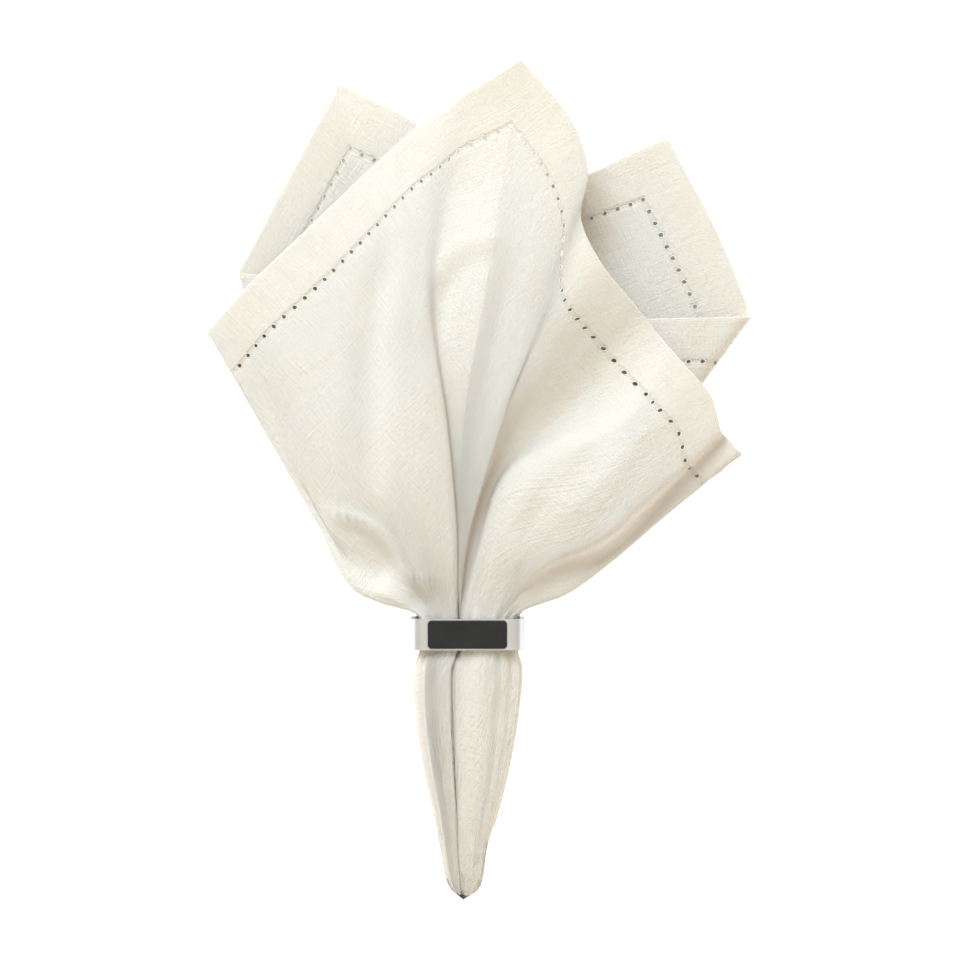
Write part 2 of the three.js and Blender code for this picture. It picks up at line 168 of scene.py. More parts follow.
LINES = [
    Line("left edge", (-25.2,), (-53, -47), (-69.5, -17.5), (-88.5, 15.5), (-115, 62),
         fold="left second", onto="front"),
    Line("roll", (-21.6, 25.6), (-45, -45.5, 25.4), (-66, -17, 22.8), (-84, 20.5, 22.7),
         (-110.5, 67.5, 21.3), tail=(-21.4, 26.2)),
    Line("dent", (-20.3, 26.2), (-37, -35, 24), (-58.5, -12, 26.5), (-76, 28, 26.5), (-99, 80.5, 22.6),
         tail=(-20.2, 26.7)),
    Line("left low", (-18.2, 26.7), (-30, -29, 31), (-50, 1, 33), (-57, 50, 31.5), (-76, 102.5, 24),
         tail=(-18.6, 27)),
    Line("left crown", (-15.4, 26.9), (-22, -26, 34), (-34.5, 11.5, 39.5), (-40, 68, 38),
         (-50.5, 127, 26), tail=(-16.6, 27.2)),
    Line("crest", (-13.2, 26.9), (-16.5, -24.5, 35.2), (-24.5, 16.5, 41.8), (-32.5, 75.5, 40.2),
         (-37, 139.5, 26.6), tail=(-14.8, 27.3)),
    Line("left ridge", (-11.2, 26.8), (-11.8, -23.8, 35.8), (-17.8, 19.5, 42.4), (-26.2, 79, 40.2),
         (-26.2, 149.2, 27.1), tail=(-13.1, 27.4)),
    Line("ridge edge", (-10.1, 26.3), (-10.1, -24.1, 35.2), (-14.1, 20.7, 41.2), (-22.4, 80.8, 39.6),
         (-17.6, 154.5, 27.3), tail=(-11.8, 27.3)),
    Line("pocket foot", (-9.7, 25.9), (-9.6, -24.4, 34.1), (-13.1, 21.3, 38.8), (-18.8, 82.2, 38.4),
         (-3.5, 164.2, 27.5), tail=(-11.25, 26.9)),
    Line("front corner", (-9.5, 25.5), (-9, -25, 34.1), (-6.8, 25.8, 38.2), (3, 84.5, 37),
         (17.2, 177, 28), corner=True, tail=(-11.05, 26.5)),
    Line("flap edge", (-9.3, 25.2), (-8.3, -25.5, 34.4), (-2.2, 24.8, 38.6), (11.8, 78.5, 36.8),
         (38.5, 151.5, 28.6), tail=(-10.9, 26.3)),
    Line("flap side", (-9.1, 25.1), (-7.5, -25.9, 34.7), (1, 21.8, 40), (19.5, 70.5, 38.8),
         (45.6, 129.5, 29.6), tail=(-10.8, 26.2)),
    Line("lip flank", (-9, 25.1), (-6.6, -26.2, 34.8), (3.4, 14.5, 41), (22.8, 60.4, 42.2),
         (42.4, 110.5, 31), tail=(-10.7, 26.2)),
    Line("lip", (-8.8, 25.2), (-5.6, -26.6, 34.8), (3.4, 5.5, 41.3), (19.6, 48.5, 43),
         (50.8, 91.5, 35.2), tail=(-10.6, 26.4)),
    Line("valley", (-8.5, 25.2), (-4.6, -27.2, 30.6), (4.9, 4.5, 34.4), (30, 42, 32.8),
         (62.2, 77.2, 27.2), tail=(-10.4, 26.7)),
    Line("valley side", (-8.1, 25.7), (-1.6, -28.4, 30.4), (9.2, 2.9, 33.4), (40.5, 35.2, 24.6),
         (68.8, 69, 22.2), tail=(-10.1, 27)),
    Line("right rise", (-7.2, 26.4), (0, -28.9, 32.2), (10.6, 2.1, 34.6), (50.5, 28.6, 26),
         (76.2, 59.8, 22.2), tail=(-9.5, 27.2)),
    Line("right shoulder", (-3.6, 26.8), (4.2, -30.2, 33.8), (16.5, -1.8, 37.2), (58, 21.8, 31.8),
         (82.2, 52.8, 24.4), tail=(-6.6, 27.1)),
    Line("right crown", (1.6, 27), (13.5, -32.8, 33.5), (34, -10.5, 37.5), (62.5, 16.5, 34.5),
         (90, 44, 26.2), tail=(0.5, 27)),
    Line("right low", (6.2, 26.8), (21.5, -35, 32.8), (43.5, -21, 35), (67.5, 3.5, 33.5),
         (97.5, 35, 25.5), tail=(4.6, 26.7)),
    Line("lower edge", (8.4, 26.4), (26.8, -36.8, 32.8), (50.8, -25.7, 34.2), (72.4, -7.4, 32.5),
         (101.8, 19.8, 26.2), tail=(7.8, 26.3)),
    Line("groove", (10.2, 25.9), (29, -39.4, 26.8), (52.3, -28.4, 26.2), (73.7, -9.8, 24.6),
         (103.7, 17.9, 21.6), tail=(10.1, 25.7)),
    Line("right edge", (14.4,), (37.5, -48), (56, -34.5), (80, -14), (110.5, 10.5), fold="front",
         onto="right second"),
    Line("right inner", (-3.8,), (10.5, -39.5), (14.5, -9), (17, 27), (17.5, 66.5),
         fold="right second", onto="right third"),
    Line("right outer", (15.9,), (32.5, -44), (53, -26), (76, 14.5), (114.4, 68.5), fold="right third",
         onto="right corner"),
    Line("right corner low", (3.2, 9.9), (21, -36.5, 8.2), (40, -8, 6.4), (65, 43, 6.2),
         (101, 102, 6)),
    Line("right corner", (-1, 10), (13.5, -32, 8.2), (28.5, 12, 6.4), (51.5, 73.5, 6), (79, 144, 5),
         corner=True),
    Line("right corner side", (-8, 9.6), (-4, -31, 8.2), (2, 14, 6.4), (18, 70, 6.2), (44.5, 128, 6)),
    Line("back inner left", (-19,), (-31.5, -36.5), (-44.5, -0.5), (-59, 33), (-76, 64.5),
         fold="right corner", onto="right back"),
    Line("back outer right", (11.2,), (29, -41.5), (49, -21.5), (67, 16.5), (84, 61),
         fold="right back", onto="back"),
    Line("back corner", (-5, 3.2), (-4.5, -30, 2), (-1, 20.5, 0.8), (2.5, 84, 0.75), (6, 155.5, 0.85),
         corner=True),
    Line("back outer left", (-24.6,), (-47, -49.5), (-67, -14), (-79.5, 27), (-92, 68), fold="back",
         onto="left back"),
    Line("back inner right", (11.6,), (27.5, -40.5), (45.5, -21.5), (63, 12), (81, 57),
         fold="left back", onto="left corner"),
    Line("left corner side", (-2, 16.1), (-6, -33, 14.2), (-8, 16, 12.2), (-18, 78, 12),
         (-22, 147, 10.5)),
    Line("left corner", (-12, 16.5), (-25.5, -34.5, 14.2), (-33, 12, 12.2), (-45, 79.5, 11.6),
         (-59.5, 167, 9), corner=True),
    Line("left outer", (-25.6,), (-49.5, -43.5), (-66, -11), (-83, 25), (-102, 87), fold="left corner",
         onto="left third"),
    Line("left inner", (-13.4,), (-17, -34.5), (-12, -0.5), (-7, 33), (0, 75.5), fold="left third",
         onto="left second"),
]
TIP = np.array([-0.0072, -0.1774, 0.0108])
THROAT = SECTIONS[-1]
SLIT_X = -0.0107
SLIT_HALF_WIDTH = 0.0013
SLIT_TOP = 0.0274
RING_MIDDLE = -0.0658
BAND_MIDDLE = -0.0054

# How finely the cloth's middle surface is worked out
COLUMNS_A_STEP = 12
ROWS_A_STEP = 20
RAY_ROWS = 480
TAIL_ROWS = 6 * ROWS_A_STEP
EASINGS = 6

# The height at which the eye sees the plan true to size
MATCH_HEIGHT = 0.03

# How strong each easing is, in the tail and beyond it, and how many rays beside a corner it spares
TAIL_EASING = 1.0
EASING = 0.3
CORNER_RAYS = 5

# Rows are true to size up to the first of these shares of the way to the hem and from the second on
TRUE_TO_SIZE = (0.25, 0.88)

# The patch over the front corner's diagonal that is smoothed: how far round it reaches, where its
# diagonal starts, the widths and shares between which it fades, and the curve that is fitted to it
CORNER_REACH = 0.3
CORNER_TOP = 0.62
CORNER_WIDTHS = (0.016, 0.04)
CORNER_SHARES = (0.72, 0.86)
CORNER_LEAST = 0.02
CORNER_DEGREE = 3
CORNER_SCALE = 0.1

# Fine unevenness, and how much of it the hidden layers have
GATHER_HEIGHT = 0.0007
GATHER_REACH = 0.035
GATHER_CORE = 0.012
HIDDEN_GATHERS = 0.25
CRINKLE_HEIGHT = 0.00045
CRINKLE_FOCUS = -0.12
CRINKLE_SPREAD = 0.16
HIDDEN_CRINKLES = 0.4

# How a crease fades in at its ends, in steps of its path
CREASE_ENDS = (-0.15, 0.8)

# Layers on the table have no room to dip
TABLE_LAYER = 0.0008
DIP_ROOM = 0.003


@dataclass
class Crease(Row):
    """A soft trough or ridge of the front layer, by its path in plan, its half width and its height."""

    lengths = ("path", "width", "height")
    path: tuple
    width: float
    height: float

    def lift(self, plan):
        path = np.array(self.path)
        nearest = np.full(plan.shape[:-1], np.inf)
        place = np.zeros(plan.shape[:-1])
        for index, (start, end) in enumerate(zip(path, path[1:])):
            way = end - start
            share = np.clip(((plan - start) @ way) / (way @ way), 0, 1)
            away = np.linalg.norm(plan - start - share[..., None] * way, axis=-1)
            closer = away < nearest
            nearest = np.where(closer, away, nearest)
            place = np.where(closer, index + share, place)
        ends = np.minimum(place, len(path) - 1 - place)
        fade = smoothstep(*CREASE_ENDS, ends)
        return self.height * fade * np.exp(-((nearest / self.width) ** 2))


CREASES = (
    # Trough left of the crest
    Crease(((-37.2, 107.1), (-44, 75.4), (-47.3, 45.9), (-46.9, 16.4), (-42.3, -11.1)), width=6.5,
           height=-3),
    # Dent low on the left
    Crease(((-66.8, -31.7), (-58.3, -34.3), (-50.7, -37.2), (-44.8, -41), (-39.7, -45.2)), width=7.2,
           height=-4.4),
    # Ridge over the dent
    Crease(((-66.8, -14.9), (-54.9, -16.1), (-46.5, -19.5), (-39.7, -25), (-34.7, -32.6),
           (-31.3, -40.2), (-26.2, -44.4)), width=2.5, height=3.6),
    # Soft fold across the right panel
    Crease(((54.8, 33.2), (50.5, 16.4), (37.9, -0.5), (21, -17.4), (12.6, -30)), width=6, height=-1.2),
    # Soft ridge beside it
    Crease(((71.6, 33.2), (65.7, 16.4), (53.1, -0.5), (33.7, -19.1)), width=6, height=1.2),
    # Pinch left over the ring
    Crease(((-32.2, -50.3), (-25.4, -52), (-17, -52.8)), width=4.2, height=-3.4),
    # Pinch right over the ring
    Crease(((16.8, -34.3), (16.4, -43.5), (13.4, -52.8)), width=2.6, height=-1.8),
    # Dent in the right lobe
    Crease(((17.6, -79.8), (13.4, -93.3), (10.9, -108.1)), width=3.2, height=-1.2),
    # Lower dent in the right lobe
    Crease(((16.4, -114.4), (13.4, -127.9), (9.2, -139.7)), width=2.8, height=-1),
    # Crease in the left lobe
    Crease(((-22.4, -77.3), (-20.8, -93.3), (-18.6, -112.3), (-16.1, -135.5)), width=3, height=-0.4),
    # Small fold at the tip
    Crease(((1.2, -157.5), (-4.3, -165.9), (-9.8, -172.7)), width=1.4, height=-1.2),
    # Rim of the pocket
    Crease(((-22, 54.3), (-23.7, 68.7), (-21.2, 81.4), (-15.3, 91.5), (-7.7, 98.2), (2.4, 100.8),
           (13.4, 98.2)), width=4.2, height=0.8),
    # Top of the pocket
    Crease(((-17, 54.3), (-17.8, 67.8), (-15.3, 78.8), (-9.4, 88.1), (-0.9, 92.3), (8.4, 91.5)),
           width=4, height=-1.2),
    # Fold under the dent
    Crease(((-56.6, -49.5), (-47.3, -52.8), (-37.2, -54.5)), width=3.4, height=1.4),
    # Edge over the pinch
    Crease(((-29.6, -41.9), (-22, -42.7), (-12.7, -42.7)), width=2, height=1),
)


def lerp(a, b, share):
    return a + (b - a) * share


def smoothstep(low, high, value):
    share = np.clip((value - low) / (high - low), 0, 1)
    return share * share * (3 - 2 * share)


def unit(vectors):
    return vectors / np.maximum(np.linalg.norm(vectors, axis=-1, keepdims=True), 1e-12)


def circle(corners):
    """Points evenly round a circle of radius 1."""
    turns = np.arange(corners) * 2 * math.pi / corners
    return np.stack([np.cos(turns), np.sin(turns)], -1)


def fold_points(here, back, on, first, second):
    """Round the nose of a fold, from height first to second, with a straight piece of each layer."""
    radius = abs(first - second) / 2

    def at(way, share, z):
        return [*(here + way * radius * share), z]

    nose = [*here, (first + second) / 2]
    return np.array([at(back, 2, first), at(back, 1, first), nose, at(on, 1, second), at(on, 2, second)])


def with_halfway(groups, place):
    """Between two folds a layer runs straight, through a point half way."""
    widened = []
    for index, group in enumerate(groups):
        following = (index + 1) % len(groups)
        if LINES[index].fold and LINES[following].fold:
            middle = (group[-1] + groups[following][0]) / 2
            middle[2] = getattr(LAYERS[LINES[index].onto], place)
            group = np.vstack([group, middle])
        widened.append(group)
    return widened


def section_points(place):
    """Points round the cloth at one place along the lines, a group for each line."""
    in_ring = place == "ring"
    plans = [np.array((line.ring[0], 0) if in_ring else getattr(line, place)[:2]) for line in LINES]
    groups = []
    for index, (line, here) in enumerate(zip(LINES, plans)):
        if not line.fold:
            groups.append(np.array([[*here, getattr(line, place)[-1]]]))
            continue
        ways = [plans[(index + step) % len(LINES)] - here for step in (-1, 1)]
        back, on = (way / np.linalg.norm(way) for way in ways)
        first, second = (getattr(LAYERS[name], place) for name in (line.fold, line.onto))
        groups.append(fold_points(here, back, on, first, second))
    return with_halfway(groups, place)


def closed_section(section):
    """Points round a section between the tip and the top of the ring."""
    groups = []
    for line, group in zip(LINES, section_points("ring")):
        if line.tail and not section.in_ring:
            x, z = line.tail
            in_slit = abs(x - SLIT_X) < SLIT_HALF_WIDTH
            group = np.array([[x, 0, lerp(z, SLIT_TOP, section.closed) if in_slit else z]])
        across = (group[:, 0] - THROAT.x) / THROAT.half_width
        up = (group[:, 2] - THROAT.z) / THROAT.half_depth
        x = section.x + across * section.half_width
        groups.append(np.stack([x, np.full(len(x), section.y), section.z + up * section.half_depth], 1))
    return groups


def spline(before, start, end, after, shares):
    """Centripetal Catmull-Rom points between start and end, for many spans at once."""

    def gap(a, b):
        return np.maximum(np.linalg.norm(b - a, axis=-1, keepdims=True) ** 0.5, 1e-4)

    first, middle, last = gap(before, start), gap(start, end), gap(end, after)
    way = (end - start) / middle
    leave = ((start - before) / first - (end - before) / (first + middle) + way) * middle
    arrive = (way - (after - start) / (middle + last) + (after - end) / last) * middle
    start, end, leave, arrive = (part[..., None, :] for part in (start, end, leave, arrive))
    t = shares[:, None]
    stay, come = (2 * t**3 - 3 * t**2 + 1), (3 * t**2 - 2 * t**3)
    return start * stay + leave * (t**3 - 2 * t**2 + t) + end * come + arrive * (t**3 - t**2)


def corner_points(groups):
    """The index, among a section's points, of each corner of the napkin."""
    firsts = np.cumsum([0] + [len(group) for group in groups[:-1]])
    return [int(first) for first, line in zip(firsts, LINES) if line.corner]


def round_curve(groups, square):
    """Fine points of a smooth closed curve through a section's points; the hem keeps square corners."""
    points = np.vstack(groups)
    before, start, end, after = (np.roll(points, shift, 0) for shift in (1, 0, -1, -2))
    if square:
        for corner in corner_points(groups):
            before[corner] = 2 * points[corner] - end[corner]
            after[corner - 1] = 2 * points[corner] - start[corner - 1]
    shares = np.arange(COLUMNS_A_STEP) / COLUMNS_A_STEP
    return spline(before, start, end, after, shares).reshape(-1, 3)


def value_noise(points, cell, seed):
    """Smooth noise from -1 to 1 on a lattice of the given cell, the same each run."""
    scaled = points / np.array(cell)
    low = np.floor(scaled).astype(int)
    share = scaled - low
    share = share * share * (3 - 2 * share)
    table = np.random.default_rng(seed).uniform(-1, 1, (256, 256))
    x, y = low[..., 0] % 256, low[..., 1] % 256
    east, north = (x + 1) % 256, (y + 1) % 256
    lower = lerp(table[x, y], table[east, y], share[..., 0])
    upper = lerp(table[x, north], table[east, north], share[..., 0])
    return lerp(lower, upper, share[..., 1])


def gathers(plan):
    """Fine folds that run out of the ring on both sides and fade with distance."""
    away = plan - [THROAT.x, RING_MIDDLE]
    reach = np.linalg.norm(away, axis=-1)
    turn = np.arctan2(away[..., 0], abs(away[..., 1]) + GATHER_CORE)
    # Other folds above the ring than below it
    turn = turn + np.where(away[..., 1] > 0, 0.0, 40.0)
    spread = np.stack([turn, reach], -1)
    broad = value_noise(spread, cell=(0.09, 0.05), seed=3)
    fine = value_noise(spread, cell=(0.04, 0.03), seed=4)
    return GATHER_HEIGHT * np.exp(-reach / GATHER_REACH) * (broad + 0.5 * fine)


def crinkles(plan):
    """Slight unevenness all over, drawn out along the folds."""
    away = plan - [THROAT.x, CRINKLE_FOCUS]
    reach = np.linalg.norm(away, axis=-1)
    turn = np.arctan2(away[..., 0], away[..., 1])
    spread = np.stack([turn * CRINKLE_SPREAD, reach], -1)
    broad = value_noise(spread, cell=(0.011, 0.034), seed=11)
    fine = value_noise(spread, cell=(0.0052, 0.015), seed=12)
    return CRINKLE_HEIGHT * (broad + 0.5 * fine)


class Drape:
    """Where each point of the flat napkin lies: its middle surface, worked out once.

    A place round the napkin runs from 0 to 4, a whole number at each corner, the front corner first.
    A share runs from 0 at the napkin's centre to 1 at its hem.
    """

    def __init__(self, side, eye_height):
        self.half = side / 2
        self.eye_height = eye_height
        fine, corners = self.rays()
        fine = np.roll(self.eased(fine, corners), -corners[0], 0)
        fine = np.concatenate([fine, fine[:1]])
        count = len(fine) - 1
        self.starts = [(corner - corners[0]) % count for corner in corners] + [count]
        self.folds = sorted((fold - corners[0]) % count for fold in self.fold_rays())
        front = np.roll(self.front_share(), -corners[0])
        self.front = np.append(front, front[0])
        self.place = self.places_round(fine)
        self.rows = self.evenly_along(fine)
        self.ease_front_corner()

    def rays(self):
        """Fine rays from the centre to the hem, and which of them are the corners' rays."""
        sections = [closed_section(section) for section in SECTIONS]
        sections += [section_points(place) for place in PLACES]
        rounds = [round_curve(groups, square=groups is sections[-1]) for groups in sections]
        knots = np.stack([np.broadcast_to(TIP, rounds[0].shape), *rounds], 1)
        before = np.concatenate([2 * knots[:, :1] - knots[:, 1:2], knots[:, :-2]], 1)
        after = np.concatenate([knots[:, 2:], 2 * knots[:, -1:] - knots[:, -2:-1]], 1)
        shares = np.arange(ROWS_A_STEP) / ROWS_A_STEP
        fine = spline(before, knots[:, :-1], knots[:, 1:], after, shares).reshape(len(knots), -1, 3)
        fine = np.concatenate([fine, knots[:, -1:]], 1)
        return fine, [corner * COLUMNS_A_STEP for corner in corner_points(sections[-1])]

    def fold_rays(self):
        """The ray down the nose of each fold."""
        firsts = np.cumsum([0] + [len(group) for group in section_points("hem")[:-1]])
        return [int(first + 2) * COLUMNS_A_STEP for first, line in zip(firsts, LINES) if line.fold]

    def front_share(self):
        """1 on the front layer and 0 on the others, for each ray."""
        groups = section_points("hem")
        flags = [[float(bool(line.tail))] * len(group) for line, group in zip(LINES, groups)]
        points = np.concatenate(flags)
        shares = np.arange(COLUMNS_A_STEP) / COLUMNS_A_STEP
        return lerp(points[:, None], np.roll(points, -1)[:, None], shares).ravel()

    def eased(self, fine, corners):
        """Eases the sharpest bends, most in the tail, where pleats are smallest, and not at the corners."""
        row = np.arange(fine.shape[1])
        share = np.where(row < TAIL_ROWS, TAIL_EASING, EASING)[None, :, None]
        share = share * np.ones((len(fine), 1, 1))
        for corner in corners:
            near = (corner + np.arange(-CORNER_RAYS, CORNER_RAYS + 1)) % len(fine)
            share[np.ix_(near, row >= fine.shape[1] - 2 * ROWS_A_STEP)] = 0
        for _ in range(EASINGS):
            mean = (np.roll(fine, 1, 0) + np.roll(fine, -1, 0)) / 2
            fine = lerp(fine, mean, share * 0.5)
        return fine

    def places_round(self, fine):
        """The place round the napkin of each ray, even along each side of the hem."""
        steps = np.linalg.norm(np.diff(fine[:, -1], axis=0), axis=1)
        places = []
        for side, (start, end) in enumerate(zip(self.starts, self.starts[1:])):
            along = np.concatenate([[0], np.cumsum(steps[start:end])])
            places.append(side + along[:-1] / along[-1])
        return np.concatenate([*places, [4]])

    def evenly_along(self, fine):
        """Rows at even shares of each ray's flat length, true to size near the centre and the hem."""
        shares = np.linspace(0, 1, RAY_ROWS + 1)
        flat = self.half * np.sqrt(1 + (2 * (self.place % 1) - 1) ** 2)[:, None]
        lengths = np.linalg.norm(np.diff(fine, axis=1), axis=2)
        along = np.concatenate([np.zeros((len(fine), 1)), np.cumsum(lengths, 1)], 1)
        wanted = shares * flat + smoothstep(*TRUE_TO_SIZE, shares) * (along[:, -1:] - flat)
        rows = np.empty((len(fine), len(shares), 3))
        for ray in range(len(fine)):
            for axis in range(3):
                rows[ray, :, axis] = np.interp(wanted[ray], along[ray], fine[ray, :, axis])
        return rows

    def ease_front_corner(self):
        """Lets the cloth run smoothly over the front corner's diagonal, where its rays turn."""
        near = (self.place < CORNER_REACH) | (self.place > 4 - CORNER_REACH)
        rows = self.rows[near]
        share = np.linspace(0, 1, RAY_ROWS + 1)
        foot, tip = rows[0, -1, :2], rows[0, int(CORNER_TOP * RAY_ROWS), :2]
        way = (foot - tip) / np.linalg.norm(foot - tip)
        away = abs((rows[..., 0] - tip[0]) * way[1] - (rows[..., 1] - tip[1]) * way[0])
        weight = smoothstep(*CORNER_WIDTHS[::-1], away) * smoothstep(*CORNER_SHARES, share)
        x, y = (rows[..., axis] / CORNER_SCALE for axis in (0, 1))
        powers = [(i, j) for i in range(CORNER_DEGREE + 1) for j in range(CORNER_DEGREE + 1 - i)]
        terms = np.stack([x**i * y**j for i, j in powers], -1)
        used = weight > CORNER_LEAST
        fit = np.linalg.lstsq(terms[used], rows[used][:, 2], rcond=None)[0]
        rows[..., 2] = lerp(rows[..., 2], terms @ fit, weight)
        self.rows[near] = rows

    def at(self, place, share):
        """The middle surface at each place round and share along."""
        ray = np.interp(place, self.place, np.arange(len(self.place)))
        low = np.minimum(np.floor(ray).astype(int), len(self.place) - 2)
        row = np.clip(share, 0, 1) * RAY_ROWS
        inner = np.minimum(np.floor(row).astype(int), RAY_ROWS - 1)
        across, along = (ray - low)[..., None], (row - inner)[..., None]
        inside = lerp(self.rows[low, inner], self.rows[low + 1, inner], across)
        outside = lerp(self.rows[low, inner + 1], self.rows[low + 1, inner + 1], across)
        front = lerp(self.front[low], self.front[low + 1], across[..., 0])
        return self.creased(lerp(inside, outside, along), front)

    def creased(self, points, front):
        """Adds the soft folds that the lines don't give, and widens in plan what lies far from the eye."""
        plan = points[..., :2]
        lift = sum((crease.lift(plan) for crease in CREASES), np.zeros(plan.shape[:-1])) * front
        lift = lift + gathers(plan) * lerp(HIDDEN_GATHERS, 1, front)
        lift = lift + crinkles(plan) * lerp(HIDDEN_CRINKLES, 1, front)
        room = np.clip((points[..., 2] - TABLE_LAYER) / DIP_ROOM, 0, 1)
        lift = np.where(lift < 0, lift * room, lift)
        height = points[..., 2] + lift
        widening = (self.eye_height - height) / (self.eye_height - MATCH_HEIGHT)
        return np.concatenate([plan * widening[..., None], height[..., None]], -1)

    def of_flat(self, flat):
        """The place round and the share along of points of the flat napkin."""
        u, v = flat[..., 0], flat[..., 1]
        reach = np.maximum(np.maximum(abs(u), abs(v)), 1e-9)
        rim = reach * (1 - 1e-9)
        side = np.select([u >= rim, v <= -rim, u <= -rim], [0, 1, 2], 3)
        along = np.choose(side, [-v, -u, v, u]) / reach
        # The front corner ends the last side and starts the first
        place = np.where((side == 3) & (along > 1 - 1e-9), 0, side + (1 + along) / 2)
        return place, reach / self.half

    def on_sheet(self, flat):
        return self.at(*self.of_flat(flat))

    def normals(self, flat, step=0.0012):
        """The side of the cloth that faces up on its front layer."""
        east = self.on_sheet(flat + [step, 0]) - self.on_sheet(flat - [step, 0])
        north = self.on_sheet(flat + [0, step]) - self.on_sheet(flat - [0, step])
        return unit(np.cross(east, north))


@lru_cache
def shared_drape(side, eye_height):
    """The drape that the cloth, its stitches and the floor have in common."""
    return Drape(side, eye_height)


# The napkin's mesh


@dataclass(frozen=True)
class Zone:
    """Rows of the cloth inside the hem, out to a share of the napkin's half side.

    Of the columns of the hem's inner rim it keeps one in front_step on the two sides that meet at the
    front corner, and one in back_step on the two behind.
    """

    out_to: float
    rows: int
    front_step: int
    back_step: int


# Stitches along each side, steps of the grid from one to the next, and steps kept inside their line
PITCHES = 80
STEPS_A_PITCH = 3
STEPS_INSIDE = 2
HOLE_SIDES = 8

# From the least to the greatest, how each corner of a hole and each hole differ in size
CORNER_SIZES = (0.8, 1.2)
HOLE_SIZES = (0.8, 1.15)

# Grid lines from the edge inwards, where the napkin's half side is the first
EDGE_LINES = (0.25, 0.2495, 0.248, 0.245, 0.2415, 0.238, 0.2345)
SIDE_COLUMNS = PITCHES * STEPS_A_PITCH - 2 * STEPS_INSIDE
ZONES = (
    Zone(out_to=0.05, rows=5, front_step=16, back_step=16),
    Zone(out_to=0.12, rows=6, front_step=8, back_step=8),
    Zone(out_to=0.4, rows=18, front_step=2, back_step=8),
    Zone(out_to=0.62, rows=21, front_step=1, back_step=4),
    Zone(out_to=0.82, rows=17, front_step=1, back_step=4),
    Zone(out_to=0, rows=7, front_step=1, back_step=2),
)

# Columns stand closer together where the cloth bends: the shares of the way to the hem at which its
# bends are measured, those between which the columns turn even again, and the weights of even columns,
# of the cloth's length and of its bends
CROWDED_SHARES = (0.5, 0.6, 0.7, 0.8)
CROWDED_TO = (0.66, 0.9)
CROWDING = (0.4, 0.3, 0.3)
BEND_RAYS = 7
HIDDEN_BENDS = 0.3

# How the thickness changes: from single to doubled past the stitches, in their groove, at the edge of
# the hem, and at the pinched tip
DOUBLED_FROM = (0.0006, 0.0016)
GROOVE_HALF_WIDTH = 0.0004
EDGE_WIDTH = 0.0003
EDGE_SHARE = 0.45
PINCHED_TO = (0.002, 0.011)


